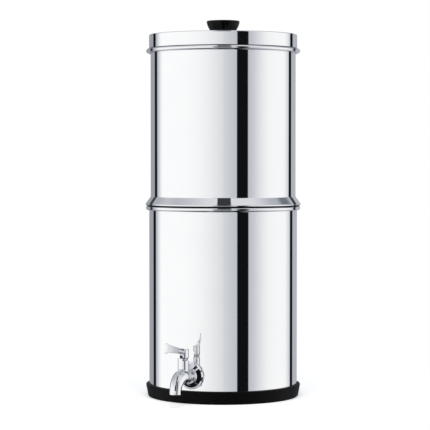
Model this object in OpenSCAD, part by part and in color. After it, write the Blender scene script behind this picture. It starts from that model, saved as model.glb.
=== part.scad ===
// Gravity water filter with tap: two stacked steel chambers, two filter elements, a lid and a lever tap.
// It stands on z = 0 at the middle of its base ring, and the tap points along -Y.

/* [Chambers] */
// Outer radius of the lower chamber's wall
chamber_r = 108.2; // [85:0.1:135]
// Thickness of the sheet steel of the chambers and the lid
sheet = 0.8; // [0.5:0.05:1.1]
// Height of the top of the lower chamber's rim
lower_h = 279.2; // [210:0.1:360]
// Height of the upper chamber, from its fold to the top of its rim
upper_h = 228.3; // [170:0.1:320]
// Depth of the upper chamber's neck inside the lower chamber
nest_depth = 28.6; // [20:0.1:45]
// Radial gap between that neck and the lower chamber
nest_gap = 1.4; // [1:0.1:3]
// Outer radius of the corner between a chamber's floor and its wall
floor_corner = 6; // [3:0.5:12]

/* [Rims and fold] */
// How far the lower chamber's rolled rim stands out past its wall
lower_rim_reach = 4.8; // [4:0.1:6]
// Radius of the lower rim's curl
lower_curl_r = 3.5; // [3:0.1:4.2]
// How far the upper chamber's rolled rim stands out past its wall
upper_rim_reach = 6.5; // [5.5:0.1:8]
// Radius of the upper rim's curl
upper_curl_r = 3.3; // [2.8:0.1:4]
// Radius of a rim's inner corner
rim_corner = 1.5; // [1.3:0.1:2]
// Width of the slot that a curl leaves open against its wall
curl_slot = 1.2; // [0.8:0.1:1.6]
// How far the upper chamber's fold stands out past the lower wall
fold_reach = 5.3; // [4.5:0.1:8]
// Radius of the fold's edge
fold_edge = 2.5; // [2:0.1:3]
// Height of the fold, from its underside to the foot of the straight wall
fold_h = 12.1; // [9:0.1:16]

/* [Lid] */
// Height of the lid above the upper rim
lid_h = 20.3; // [14:0.1:28]
// Difference in radius between the lid's skirt and the upper chamber's wall
lid_overhang = 2.2; // [1.8:0.1:3]
// Outer radius of the lid's top corner
lid_corner = 2.5; // [2:0.5:8]
// Outer radius of the bend at the foot of the skirt
lid_foot = 1; // [0.9:0.1:1.2]
// Depth of the lid's locating ring inside the upper chamber
locating_depth = 8.7; // [5:0.1:14]
// Radial gap between the locating ring and the upper chamber
locating_gap = 0.6; // [0.4:0.1:1.5]

/* [Knob] */
// Height of the knob
knob_h = 20.9; // [15:0.1:30]
// Greatest radius of the knob, at its rim
knob_r = 24.2; // [19:0.1:32]
// Radius of the knob's foot
knob_foot_r = 12.5; // [9:0.1:16]
// Radius of the knob's rim
knob_edge = 2; // [1:0.1:3]
// Radius of the curve of the knob's side
knob_side_r = 30; // [24:0.5:60]
// Radius of the knob's screw
knob_screw_r = 2.5; // [2:0.1:4]
// Length of that screw inside the knob
knob_screw_l = 12; // [8:0.5:14]
// Outer radius of the washer under the lid
knob_washer_r = 9; // [7:0.5:12]
// Thickness of that washer
knob_washer_t = 1.2; // [0.8:0.1:2]

/* [Base ring] */
// Height of the rubber base ring
base_h = 18.4; // [14:0.1:26]
// How far the ring stands out past the lower wall at its top
base_reach = 4.8; // [3.5:0.1:8]
// How much farther in the ring's foot lies
base_taper = 2.6; // [1:0.1:4]
// Thickness of the ring under the chamber
base_floor = 3; // [2:0.1:6]
// Width of the lip that carries the chamber's floor
base_lip_w = 10; // [7:0.5:16]
// Radius of the ring's top edge
base_top_edge = 1.5; // [0.8:0.1:2]
// Radius of the ring's bottom edge
base_foot_edge = 2.5; // [1.5:0.1:3]

/* [Filter elements] */
// Radius of a filter element
element_r = 33; // [25:0.5:40]
// Free space between the two elements
element_gap = 34; // [20:1:40]
// Free height from the top of the elements to the top of the upper rim
element_headroom = 30; // [20:1:60]
// Radius of the bore inside an element
element_bore_r = 11; // [7:0.5:15]
// Thickness of an element's end caps
cap_t = 8; // [5:0.5:12]
// Radius of the threaded stem
stem_r = 5.9; // [4.5:0.1:8]
// Length of the stem below the upper chamber's floor
stem_l = 27; // [22:0.5:32]
// Radius of the water channel in the stem
stem_bore_r = 3; // [2:0.1:4]
// Outer radius of the washer that seals the stem
stem_washer_r = 14; // [10:0.5:18]
// Thickness of that washer
stem_washer_t = 3; // [2:0.1:5]
// Radius of the wing nut's hub
wing_hub_r = 10; // [8.5:0.5:13]
// Height of the wing nut's hub
wing_hub_h = 9; // [6:0.5:14]
// Span of the wing nut
wing_span = 34; // [26:1:44]

/* [Tap] */
// Free height between the base ring and the tap's flange
tap_clear = 2.5; // [1:0.1:20]
// Radius of the tap's flange
flange_r = 19.6; // [16:0.1:26]
// Height of the flange from the wall to its front face
flange_h = 9; // [7:0.1:12]
// Radius of the flange's front face
flange_neck_r = 10.8; // [10.4:0.1:12.5]
// Radius of the tap's threaded shank
shank_r = 8; // [6.5:0.1:9]
// Length of the shank inside the lower chamber
shank_l = 13.5; // [13:0.5:24]
// Distance from the wall to the axis of the handle
hub_reach = 26; // [24:0.5:45]
// Distance from the axis of the handle to the axis of the outlet
spout_reach = 25.6; // [22:0.1:36]
// Radius of the tap's barrel
barrel_r = 7.8; // [7.4:0.1:9]
// Radius of the spout at its bend
spout_r = 9.6; // [7.8:0.1:10.6]
// Radius of the spout at its outlet
outlet_r = 8.5; // [7.4:0.1:10]
// Radius of the spout's bend, measured at its middle
bend_r = 14.5; // [12:0.1:19]
// Length of the tapered piece below the bend
spout_tip = 6.5; // [2:0.1:12]
// Radius of the waterway in the barrel
way_r = 3.5; // [2.5:0.1:4]
// Radius of the waterway in the spout
spout_way_r = 5.6; // [4:0.1:6.4]
// Height of the boss that holds the valve, above the barrel's axis
boss_h = 24.3; // [22:0.1:32]
// Height of the stop lug on the boss
lug_h = 3.2; // [2:0.1:4]

/* [Valve] */
// Radius of the turning plug
plug_r = 4.5; // [4:0.05:5.4]
// Radius of the hole through the plug
plug_way_r = 2.75; // [2:0.05:3]
// Thickness of the sleeve around the plug
sleeve_t = 0.9; // [0.7:0.05:1.2]
// Thickness of the boss's wall
boss_wall = 2.35; // [1.8:0.05:3]
// Radius of the stem that carries the handle
spindle_r = 2.6; // [2.3:0.05:3]
// Thickness of a seal ring
ring_t = 1.4; // [1:0.05:1.8]
// Thickness of the washer between the plug and the gland nut
glide_t = 0.8; // [0.5:0.1:1.2]
// Height of the gland nut
gland_h = 5.6; // [4:0.1:6.5]

/* [Handle] */
// Turn of the handle from shut to open, in degrees
handle_turn = 90; // [60:1:100]
// Height of the handle's hub
hub_h = 15.8; // [13:0.1:20]
// Height of the hub above the step that stops it
hub_roof = 9.7; // [8:0.1:12]
// Slope of that step, in degrees
step_slope = 30; // [0:1:36]
// Distance from the axis of the handle to the tip of the lever
lever_l = 54.5; // [42:0.5:70]
// Radius of the lever's round neck
lever_root_r = 3.9; // [3.2:0.1:4.2]
// Distance from the axis of the handle to the end of that neck
lever_neck_l = 21; // [16:0.5:30]
// Thickness of the flat blade beside the neck
lever_root_t = 7.2; // [5:0.1:7.4]
// Thickness of that blade at the lever's tip
lever_t = 4.5; // [3:0.1:5]
// Half the height of the blade before its lip
lever_end_r = 5.8; // [4.6:0.1:7]
// Half the height of the lip around the lever's tip
lever_tip_r = 6.9; // [6:0.1:9]
// Rise of the lever, in degrees
lever_rise = 10.5; // [0:0.5:25]
// Radius of the rounded edge of that lip
lever_edge = 1.2; // [0.6:0.1:1.8]
// Radius of the cap in the top of the hub
cap_r = 4; // [3.4:0.1:4.8]
// Height of the screw pocket in the hub
pocket_h = 4.4; // [3.9:0.1:5]
// Radius of the handle's screw
handle_screw_r = 1.25; // [1:0.05:1.4]
// Length of that screw inside the spindle
handle_screw_l = 6; // [4:0.5:8]

/* [Clearances] */
// Height of the gap between the lower rim and the fold that rests on it
seat_gap = 0.2; // [0.1:0.05:0.5]
// Radial gap between fixed pieces that fit into each other
fit_gap = 0.05; // [0.03:0.01:0.1]
// Radial gap of what turns in a bore
running_gap = 0.05; // [0.02:0.01:0.08]
// Radial gap around a stem or screw in a plain hole
hole_gap = 0.3; // [0.2:0.05:0.6]
// Height of the gap between the hub and the boss
hub_gap = 0.4; // [0.2:0.05:0.8]

/* [Hidden] */
$fn = 96;
SIDES = ["left", "right"];
// How far a cut runs past the face that it opens, or a solid runs into the one it joins
past = 1;

steel = [0.80, 0.81, 0.83];
chrome = [0.86, 0.87, 0.89];
black = [0.06, 0.06, 0.06];
rubber = [0.12, 0.12, 0.12];
carbon = [0.16, 0.16, 0.17];
white = [0.90, 0.90, 0.88];
brass = [0.78, 0.65, 0.36];

// Levels and radii of the chambers and the lid
upper_r = chamber_r - sheet - nest_gap;
upper_in_r = upper_r - sheet;
fold_z = lower_h + seat_gap;
upper_floor = fold_z - nest_depth;
upper_top = fold_z + upper_h;
fold_r = chamber_r + fold_reach;
lid_r = upper_r + lid_overhang;
lid_top = upper_top + lid_h;
locating_r = upper_in_r - locating_gap;

// Levels and places of the filter elements
element_x = element_r + element_gap / 2;
base_cap_z = upper_floor + sheet + stem_washer_t;
top_cap_z = upper_top - element_headroom - cap_t;
cap_edge = 2;
cap_plug_h = 5;
stem_drop = stem_washer_t + sheet + stem_l;

// Levels and places of the tap, from the wall outwards and up
tap_z = base_h + tap_clear + flange_r;
wall_curve = chamber_r - sqrt(pow(chamber_r, 2) - pow(flange_r, 2));
washer_seat = 3;
outer_washer_r = 15;
collar_r = 10;
collar_t = 2;
nut_t = 7;
nut_flats = 24;
inner_washer_r = 13;
inner_washer_t = 2.8;
sleeve_r = plug_r + running_gap + sleeve_t;
boss_bore_r = sleeve_r + fit_gap;
boss_r = boss_bore_r + boss_wall;
plug_foot = 1.35;
valve_floor = tap_z - plug_way_r - plug_foot;
boss_top = tap_z + boss_h;
gland_sink = 0.5;
gland_z = boss_top - gland_sink - gland_h;
plug_top = gland_z - glide_t - running_gap;
hub_z = boss_top + hub_gap;
hub_top = hub_z + hub_h;
hub_overhang = 0.15;
hub_r = boss_r + hub_overhang;
pocket_z = hub_top - pocket_h;
pocket_floor = 1.6;
drive_top = pocket_z - pocket_floor;
drive_z = hub_z + 0.5;
bend_start = spout_reach - bend_r;
way_blend = 2;
step_side = -160;
stop_slack = 1;
lug_angle = 180 - handle_turn - 2 * stop_slack;
lug_side = step_side + handle_turn / 2;
drive_w = 4;
first_seal = 2.5;
seal_pitch = 3;
seal_levels = [for (i = [0, 1]) tap_z + plug_way_r + first_seal + i * seal_pitch];

// The tangent line that runs outside two circles has this normal, as an angle from +X.
function tangent_angle(from, r1, to, r2) =
    atan2(to.y - from.y, to.x - from.x) - 90 + asin((r1 - r2) / norm(to - from));
function toward(angle) = [cos(angle), sin(angle)];

// ---- Turned profiles ----

// Half profile of a round pan with a rounded floor corner, drawn t inside its surface.
module pan_profile(r, floor_z, top_z, corner, t) {
    translate([0, floor_z + t]) square([r - corner, corner]);
    translate([r - corner, floor_z + corner]) circle(corner - t);
    translate([0, floor_z + corner]) square([r - t, top_z - floor_z - corner]);
}

// Profile of a rim rolled outwards, t inside its surface, with its top at y = 0.
module rim_profile(r, reach, curl, t) {
    inner = r - sheet;
    curl_x = r + reach - curl;
    intersection() {
        union() {
            translate([curl_x, -curl]) circle(curl - t);
            translate([inner + rim_corner, -rim_corner]) circle(rim_corner - t);
            translate([inner + rim_corner, -curl]) square([curl_x - inner - rim_corner, curl - t]);
            translate([inner, -curl]) square([curl_x - inner, curl - rim_corner]);
        }
        translate([inner + t, -3 * curl]) square([reach + 2 * sheet, 4 * curl]);
    }
}

// A rim's hollow, with the slot through which the curl stays open.
module rim_hollow(r, reach, curl) {
    rim_profile(r, reach, curl, sheet);
    translate([r, -2 * curl - sheet]) square([curl_slot, curl + sheet]);
}

// Half profile of the fold around the upper chamber, t inside its surface.
module fold_profile(t) {
    edge = [fold_r - fold_edge, fold_z + fold_edge];
    normal = tangent_angle(edge, fold_edge, [upper_r, fold_z + fold_h], 0);
    along = edge * toward(normal) + fold_edge - t;
    wall_z = (along - cos(normal) * (upper_r - t)) / sin(normal);
    translate(edge) circle(fold_edge - t);
    translate([0, fold_z + t]) square([edge.x, fold_edge - t]);
    polygon([[0, edge.y], edge, edge + (fold_edge - t) * toward(normal),
             [upper_r - t, wall_z], [0, wall_z]]);
}

// Half profile of the lid, t inside its surface.
module lid_profile(t) {
    foot_z = upper_top;
    translate([0, foot_z + lid_foot]) square([lid_r - t, lid_h - lid_foot - lid_corner]);
    translate([lid_r - lid_foot, foot_z + lid_foot]) circle(lid_foot - t);
    translate([0, foot_z + t]) square([lid_r - lid_foot, lid_foot]);
    translate([lid_r - lid_corner, lid_top - lid_corner]) circle(lid_corner - t);
    translate([0, lid_top - lid_corner - t]) square([lid_r - lid_corner, lid_corner]);
}

// ---- Chambers and base ring ----

// The rubber ring under the lower chamber: a tapered wall outside and a lip that carries the floor.
module base_ring() {
    top = [chamber_r + base_reach - base_top_edge, base_h - base_top_edge];
    foot = [chamber_r + base_reach - base_taper - base_foot_edge, base_foot_edge];
    normal = tangent_angle(foot, base_foot_edge, top, base_top_edge);
    seat_r = chamber_r + fit_gap;
    color(rubber) rotate_extrude() {
        difference() {
            union() {
                translate(top) circle(base_top_edge);
                translate(foot) circle(base_foot_edge);
                polygon([[seat_r, 0], [foot.x, 0], foot, foot + base_foot_edge * toward(normal),
                         top + base_top_edge * toward(normal), top, [top.x, base_h],
                         [seat_r, base_h]]);
            }
            translate([0, base_floor]) square([seat_r, base_h]);
        }
        translate([seat_r - base_lip_w, 0]) square([base_lip_w + past, base_floor]);
    }
}

// The lower chamber, which holds the filtered water: a drawn pan with a rolled rim and the tap's hole.
module lower_chamber() {
    color(steel) difference() {
        rotate_extrude() difference() {
            union() {
                pan_profile(chamber_r, base_floor, lower_h - lower_curl_r, floor_corner, 0);
                translate([0, lower_h]) rim_profile(chamber_r, lower_rim_reach, lower_curl_r, 0);
            }
            pan_profile(chamber_r, base_floor, lower_h + past, floor_corner, sheet);
            translate([0, lower_h]) rim_hollow(chamber_r, lower_rim_reach, lower_curl_r);
        }
        from_wall(-sheet - wall_curve) cylinder(r = shank_r + hole_gap, h = sheet + 2 * wall_curve);
    }
}

// The upper chamber, which holds the raw water and the elements. Its fold rests on the lower rim.
module upper_chamber() {
    color(steel) difference() {
        rotate_extrude() difference() {
            union() {
                pan_profile(upper_r, upper_floor, upper_top - upper_curl_r, floor_corner, 0);
                fold_profile(0);
                translate([0, upper_top]) rim_profile(upper_r, upper_rim_reach, upper_curl_r, 0);
            }
            pan_profile(upper_r, upper_floor, upper_top + past, floor_corner, sheet);
            fold_profile(sheet);
            translate([0, upper_top]) rim_hollow(upper_r, upper_rim_reach, upper_curl_r);
        }
        for (side = [0, 1])
            element_place(side, upper_floor - past)
                cylinder(r = stem_r + hole_gap, h = sheet + 2 * past);
    }
}

// ---- Lid and knob ----

// The lid: a flat top, a skirt that rests on the rim, and a ring that locates it in the mouth.
module lid() {
    color(steel) difference() {
        rotate_extrude() difference() {
            union() {
                lid_profile(0);
                translate([0, upper_top - locating_depth]) square([locating_r, locating_depth + past]);
            }
            lid_profile(sheet);
            translate([0, upper_top - locating_depth - past])
                square([locating_r - sheet, locating_depth + 2 * past]);
        }
        translate([0, 0, lid_top - 2 * sheet]) cylinder(r = knob_screw_r + hole_gap, h = 3 * sheet);
    }
}

// The knob: a solid of revolution with a curved side, threaded from below.
module lid_knob() {
    seat_w = 3;
    seat_h = 0.6;
    rim = [knob_r, knob_h - knob_edge];
    foot = [knob_foot_r, 0];
    half = norm(rim - foot) / 2;
    chord = (rim - foot) / (2 * half);
    middle = (rim + foot) / 2 + sqrt(pow(knob_side_r, 2) - pow(half, 2)) * [-chord.y, chord.x];
    color(black) translate([0, 0, lid_top]) difference() {
        rotate_extrude() {
            intersection() {
                translate(middle) circle(knob_side_r);
                square(rim);
            }
            translate(rim - [knob_edge, 0]) circle(knob_edge);
            square([knob_r - knob_edge, knob_h]);
        }
        translate([0, 0, -past]) cylinder(r = knob_screw_r + fit_gap, h = knob_screw_l + 2 * past);
        translate([0, 0, -past]) cylinder(r = knob_foot_r - seat_w, h = seat_h + past);
    }
}

// The screw that holds the knob, with its head under the lid.
module knob_screw() {
    head_top = lid_top - sheet - knob_washer_t;
    head_h = 3;
    slot = [2 * knob_screw_r, 1, head_h];
    color(chrome) {
        translate([0, 0, head_top]) cylinder(r = knob_screw_r, h = lid_top + knob_screw_l - head_top);
        difference() {
            translate([0, 0, head_top - head_h]) cylinder(r = 2 * knob_screw_r, h = head_h);
            for (turn = [0, 90])
                translate([0, 0, head_top - head_h]) rotate([0, 0, turn]) cube(slot, center = true);
        }
    }
}

// The washer that spreads the screw's pull over the sheet.
module knob_washer() {
    color(rubber) translate([0, 0, lid_top - sheet - knob_washer_t]) difference() {
        cylinder(r = knob_washer_r, h = knob_washer_t);
        translate([0, 0, -past]) cylinder(r = knob_screw_r + fit_gap, h = knob_washer_t + 2 * past);
    }
}

// ---- Filter elements ----

// Moves a piece of an element to its side of the upper chamber, at height z.
module element_place(side, z) {
    translate([(2 * side - 1) * element_x, 0, z]) children();
}

// The carbon block: a thick tube between its two caps.
module carbon_block(side) {
    foot = base_cap_z + cap_t;
    color(carbon) element_place(side, foot) difference() {
        cylinder(r = element_r, h = top_cap_z - foot);
        translate([0, 0, -past]) cylinder(r = element_bore_r, h = top_cap_z - foot + 2 * past);
    }
}

// The cap that closes the block's bore at the top, with a plug that centres it.
module top_cap(side) {
    color(black) element_place(side, top_cap_z) {
        rotate_extrude() {
            square([element_r - cap_edge, cap_t]);
            square([element_r, cap_t - cap_edge]);
            translate([element_r - cap_edge, cap_t - cap_edge]) circle(cap_edge);
        }
        translate([0, 0, -cap_plug_h]) cylinder(r = element_bore_r - hole_gap, h = cap_plug_h + past);
    }
}

// The cap under the block, with the threaded stem through which the water leaves.
module base_cap(side) {
    color(black) element_place(side, base_cap_z) difference() {
        union() {
            cylinder(r = element_r, h = cap_t);
            translate([0, 0, cap_t - past])
                cylinder(r = element_bore_r - hole_gap, h = cap_plug_h + past);
            translate([0, 0, -stem_drop]) cylinder(r = stem_r, h = stem_drop + past);
        }
        translate([0, 0, -stem_drop - past])
            cylinder(r = stem_bore_r, h = stem_drop + cap_t + cap_plug_h + 2 * past);
    }
}

// The rubber washer that seals the stem's hole inside the upper chamber.
module stem_washer(side) {
    color(rubber) element_place(side, upper_floor + sheet) difference() {
        cylinder(r = stem_washer_r, h = stem_washer_t);
        translate([0, 0, -past]) cylinder(r = stem_r + fit_gap, h = stem_washer_t + 2 * past);
    }
}

// The wing nut that clamps the element from below the upper chamber's floor.
module wing_nut(side) {
    foot_t = 2;
    foot_w = 3;
    wing = [wing_span, 4, 15];
    color(white) element_place(side, upper_floor) difference() {
        union() {
            translate([0, 0, -foot_t]) cylinder(r = wing_hub_r + foot_w, h = foot_t);
            translate([0, 0, -wing_hub_h]) cylinder(r = wing_hub_r, h = wing_hub_h);
            intersection() {
                translate([0, 0, -foot_t - wing.z / 2]) cube(wing, center = true);
                translate([0, wing.y, 0]) rotate([90, 0, 0])
                    cylinder(r = wing_span / 2, h = 2 * wing.y);
            }
        }
        translate([0, 0, -foot_t - wing.z - past])
            cylinder(r = stem_r + fit_gap, h = foot_t + wing.z + 2 * past);
    }
}

// ---- Tap ----

// Turns a piece so that its +Z points out of the wall at the tap, and moves it this far outwards.
module from_wall(out) {
    translate([0, -chamber_r - out, tap_z]) rotate([90, 0, 0]) children();
}

// Moves a piece to the axis of the handle, at height z.
module on_hub(z) {
    translate([0, -chamber_r - hub_reach, z]) children();
}

// The tap's outside: collar, barrel, valve boss with its stop lug, and bent spout.
module tap_outside() {
    from_wall(-shank_l - sheet) cylinder(r = shank_r, h = shank_l + sheet + flange_h + past);
    from_wall(flange_h) cylinder(r = collar_r, h = collar_t);
    from_wall(flange_h) cylinder(r = barrel_r, h = hub_reach - flange_h);
    from_wall(hub_reach) cylinder(r1 = barrel_r, r2 = spout_r, h = bend_start);
    spout_bend(spout_r);
    from_wall(hub_reach + spout_reach) translate([0, -bend_r - spout_tip, 0]) rotate([-90, 0, 0])
        cylinder(r1 = outlet_r, r2 = spout_r, h = spout_tip);
    difference() {
        on_hub(tap_z) cylinder(r = boss_r, h = boss_h + lug_h);
        on_hub(boss_top) rotate([0, 0, lug_side + lug_angle / 2])
            rotate_extrude(angle = 360 - lug_angle) square([boss_r + past, lug_h + past]);
    }
}

// A quarter bend from the barrel's direction to straight down.
module spout_bend(r) {
    translate([0, -chamber_r - hub_reach - bend_start, tap_z - bend_r]) rotate([180, -90, 0])
        rotate_extrude(angle = 90) translate([bend_r, 0]) circle(r);
}

// The tap's body, with its waterway, valve bore and threaded shank.
module tap_body() {
    color(chrome) difference() {
        tap_outside();
        from_wall(-shank_l - sheet - past)
            cylinder(r = way_r, h = shank_l + sheet + hub_reach + bend_start - way_blend + past);
        from_wall(hub_reach + bend_start - way_blend)
            cylinder(r1 = way_r, r2 = spout_way_r, h = way_blend);
        spout_bend(spout_way_r);
        from_wall(hub_reach + spout_reach) translate([0, -bend_r - spout_tip - past, 0])
            rotate([-90, 0, 0]) cylinder(r = spout_way_r, h = spout_tip + past);
        on_hub(valve_floor) cylinder(r = boss_bore_r, h = boss_top + lug_h - valve_floor + past);
    }
}

// The chrome flange that covers the washer, cut to the curve of the wall.
module tap_flange() {
    back = wall_curve + past;
    rim_edge = 0.7;
    rim_top = [flange_r - 2.6, 1.9];
    neck_foot = [flange_neck_r + 1, flange_h - 2.2];
    neck_edge = 0.7;
    color(chrome) difference() {
        from_wall(0) rotate_extrude() difference() {
            polygon([[0, -back], [flange_r, -back], [flange_r, rim_top.y - 2 * rim_edge + 0.1],
                     [flange_r - rim_edge, rim_top.y - rim_edge + 0.1], rim_top, neck_foot,
                     [flange_neck_r, flange_h - neck_edge], [flange_neck_r - neck_edge, flange_h],
                     [0, flange_h]]);
            translate([0, -back]) square([outer_washer_r + hole_gap, washer_seat + back]);
            square([shank_r + hole_gap, flange_h + past]);
        }
        wall_cut(chamber_r + fit_gap);
    }
}

// The space inside a wall of radius r, near the tap.
module wall_cut(r) {
    translate([0, 0, tap_z - 2 * flange_r]) cylinder(r = r, h = 4 * flange_r, $fn = 480);
}

// The outer rubber washer: flat towards the flange, and hollow towards the wall.
module outer_washer() {
    color(rubber) difference() {
        from_wall(-wall_curve) cylinder(r = outer_washer_r, h = washer_seat + wall_curve);
        from_wall(-wall_curve - past)
            cylinder(r = shank_r + fit_gap, h = washer_seat + wall_curve + 2 * past);
        wall_cut(chamber_r + fit_gap);
    }
}

// The inner rubber washer: round towards the wall, and flat towards the nut.
module inner_washer() {
    color(rubber) intersection() {
        from_wall(-sheet - inner_washer_t) difference() {
            cylinder(r = inner_washer_r, h = inner_washer_t + past);
            translate([0, 0, -past]) cylinder(r = shank_r + fit_gap, h = inner_washer_t + 3 * past);
        }
        wall_cut(chamber_r - sheet - fit_gap);
    }
}

// The hexagonal nut that pulls the shank tight from inside the lower chamber.
module shank_nut() {
    face_r = nut_flats / 2 + 0.5;
    color(brass) from_wall(-sheet - inner_washer_t - nut_t) difference() {
        intersection() {
            cylinder(r = nut_flats / sqrt(3), h = nut_t, $fn = 6);
            cylinder(r1 = face_r, r2 = face_r + nut_t, h = nut_t);
        }
        translate([0, 0, -past]) cylinder(r = shank_r + fit_gap, h = nut_t + 2 * past);
    }
}

// The sleeve that lines the boss around the plug, with a port towards each side.
module valve_sleeve() {
    color(white) difference() {
        on_hub(valve_floor) cylinder(r = sleeve_r, h = plug_top - valve_floor);
        on_hub(valve_floor - past)
            cylinder(r = plug_r + running_gap, h = plug_top - valve_floor + 2 * past);
        from_wall(hub_reach - 2 * sleeve_r) cylinder(r = plug_way_r, h = 4 * sleeve_r);
    }
}

// The turning plug with its cross hole, its spindle and the square that drives it.
// At rest the hole lies across the barrel, so the tap is shut.
module valve_plug() {
    foot_z = valve_floor + running_gap;
    groove_r = plug_r - ring_t;
    groove_h = ring_t + 0.2;
    color(brass) difference() {
        union() {
            on_hub(foot_z) cylinder(r = plug_r, h = plug_top - foot_z);
            on_hub(plug_top - past) cylinder(r = spindle_r, h = drive_z - plug_top + past);
            on_hub(drive_z - past) intersection() {
                cylinder(r = spindle_r, h = drive_top - drive_z + past);
                translate([-drive_w / 2, -drive_w / 2, 0]) cube([drive_w, drive_w, hub_h]);
            }
        }
        on_hub(tap_z) rotate([0, 90, 0]) cylinder(r = plug_way_r, h = 4 * plug_r, center = true);
        for (z = seal_levels)
            on_hub(z - groove_h / 2) difference() {
                cylinder(r = plug_r + past, h = groove_h);
                translate([0, 0, -past]) cylinder(r = groove_r, h = groove_h + 2 * past);
            }
        on_hub(drive_top - handle_screw_l)
            cylinder(r = handle_screw_r + fit_gap, h = handle_screw_l + past);
    }
}

// The two seal rings in the plug's grooves.
module plug_seals() {
    color(rubber) for (z = seal_levels)
        on_hub(z) rotate_extrude() translate([plug_r - ring_t / 2 + running_gap / 2, 0])
            circle(ring_t / 2);
}

// The slippery washer between the plug's shoulder and the gland nut.
module glide_washer() {
    color(white) on_hub(gland_z - glide_t) difference() {
        cylinder(r = sleeve_r, h = glide_t);
        translate([0, 0, -past]) cylinder(r = spindle_r + running_gap, h = glide_t + 2 * past);
    }
}

// The gland nut that holds the valve in the boss, with two slots for its spanner.
module gland_nut() {
    slot_w = 1.5;
    color(brass) on_hub(gland_z) difference() {
        cylinder(r = sleeve_r, h = gland_h);
        translate([0, 0, -past]) cylinder(r = spindle_r + running_gap, h = gland_h + 2 * past);
        translate([-2 * sleeve_r, -slot_w / 2, gland_h - slot_w])
            cube([4 * sleeve_r, slot_w, slot_w + past]);
    }
}

// ---- Handle ----

// The handle: a hub with a stepped skirt, and a flat lever that rises forwards.
module tap_handle() {
    skirt = [hub_r - 2, 4];
    core_r = boss_bore_r - 0.6;
    edge = 0.8;
    drive_bore = drive_w + 2 * fit_gap;
    end_gap = 0.2;
    color(chrome) difference() {
        union() {
            difference() {
                on_hub(hub_z) rotate_extrude() {
                    polygon([[0, 0], [skirt.x, 0], [hub_r, skirt.y], [hub_r, hub_h - edge],
                             [hub_r - edge, hub_h], [0, hub_h]]);
                }
                step_cut();
            }
            on_hub(hub_z) cylinder(r = core_r, h = hub_h - past);
            lever();
        }
        on_hub(hub_z - past) translate([-drive_bore / 2, -drive_bore / 2, 0])
            cube([drive_bore, drive_bore, drive_top - hub_z + end_gap + past]);
        on_hub(hub_z - past) cylinder(r = spindle_r + fit_gap, h = drive_z - hub_z + end_gap + past);
        on_hub(drive_top) cylinder(r = handle_screw_r + hole_gap, h = pocket_floor + past);
        on_hub(pocket_z) cylinder(r = cap_r, h = pocket_h + past);
    }
}

// The half of the hub's skirt that is cut away for the stop lug, under a sloping roof.
module step_cut() {
    size = 3 * hub_h;
    on_hub(hub_top - hub_roof) rotate([0, 0, step_side]) intersection() {
        translate([0, -size, -size]) cube(2 * size);
        rotate([0, -step_slope, 0]) translate([-size, -size, -2 * size]) cube(2 * size);
    }
}

// The lever: a turned bar that widens to a lip, milled to a flat wedge beyond its round neck.
module lever() {
    root = 5;
    sink = 0.3;
    lip_l = 3;
    shoulder = 2.5;
    ridge = 0.2;
    length = (lever_l - root) / cos(lever_rise) - lever_tip_r * tan(lever_rise) / 2;
    neck_l = lever_neck_l - root;
    blade_z = neck_l - shoulder;
    on_hub(hub_top - lever_root_r - sink) rotate([90 - lever_rise, 0, 0]) translate([0, 0, root])
        intersection() {
            rotate_extrude() {
                polygon([[0, 0], [lever_root_r + ridge, 0], [lever_end_r, length - lip_l],
                         [lever_tip_r, length - lever_edge], [0, length - lever_edge]]);
                translate([lever_tip_r - lever_edge, length - lever_edge]) circle(lever_edge);
                square([lever_tip_r - lever_edge, length]);
            }
            union() {
                rotate([90, 0, 0]) linear_extrude(4 * lever_tip_r, center = true)
                    polygon([[lever_root_t / 2, blade_z], [lever_t / 2, length + past],
                             [-lever_t / 2, length + past], [-lever_root_t / 2, blade_z]]);
                translate([0, 0, -past]) cylinder(r = lever_root_r, h = blade_z + past);
                translate([0, 0, blade_z]) cylinder(r1 = lever_root_r, r2 = lever_t / 2, h = shoulder);
            }
        }
}

// The screw that holds the handle on the square.
module handle_screw() {
    head_h = 1.6;
    tip_z = drive_top - handle_screw_l + 0.5;
    slot = [2.4 * handle_screw_r, 0.6, head_h];
    color(chrome) {
        on_hub(pocket_z) difference() {
            cylinder(r = 2 * handle_screw_r, h = head_h);
            translate([0, 0, head_h]) for (turn = [0, 90])
                rotate([0, 0, turn]) cube(slot, center = true);
        }
        on_hub(tip_z) cylinder(r = handle_screw_r, h = pocket_z - tip_z + head_h / 4);
    }
}

// The cap that closes the screw's pocket.
module handle_cap() {
    head_room = 2.2;
    crown = 0.3;
    crown_r = 30;
    color(chrome) on_hub(hub_top) rotate_extrude() {
        translate([0, head_room - pocket_h]) square([cap_r - fit_gap, pocket_h - head_room]);
        intersection() {
            translate([0, crown - crown_r]) circle(crown_r, $fn = 360);
            square([cap_r - fit_gap, crown_r]);
        }
    }
}

base_ring();
lower_chamber();
tap_body();
tap_flange();
outer_washer();
inner_washer();
shank_nut();
valve_sleeve();
glide_washer();
gland_nut();
valve_plug();
plug_seals();
tap_handle();
handle_screw();
handle_cap();
upper_chamber();
for (side = [0, 1]) {
    carbon_block(side);
    top_cap(side);
    base_cap(side);
    stem_washer(side);
    wing_nut(side);
}
lid();
lid_knob();
knob_screw();
knob_washer();
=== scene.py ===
from math import asin, atan2, cos, degrees, hypot, pi, radians, sin, sqrt, tan

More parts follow.
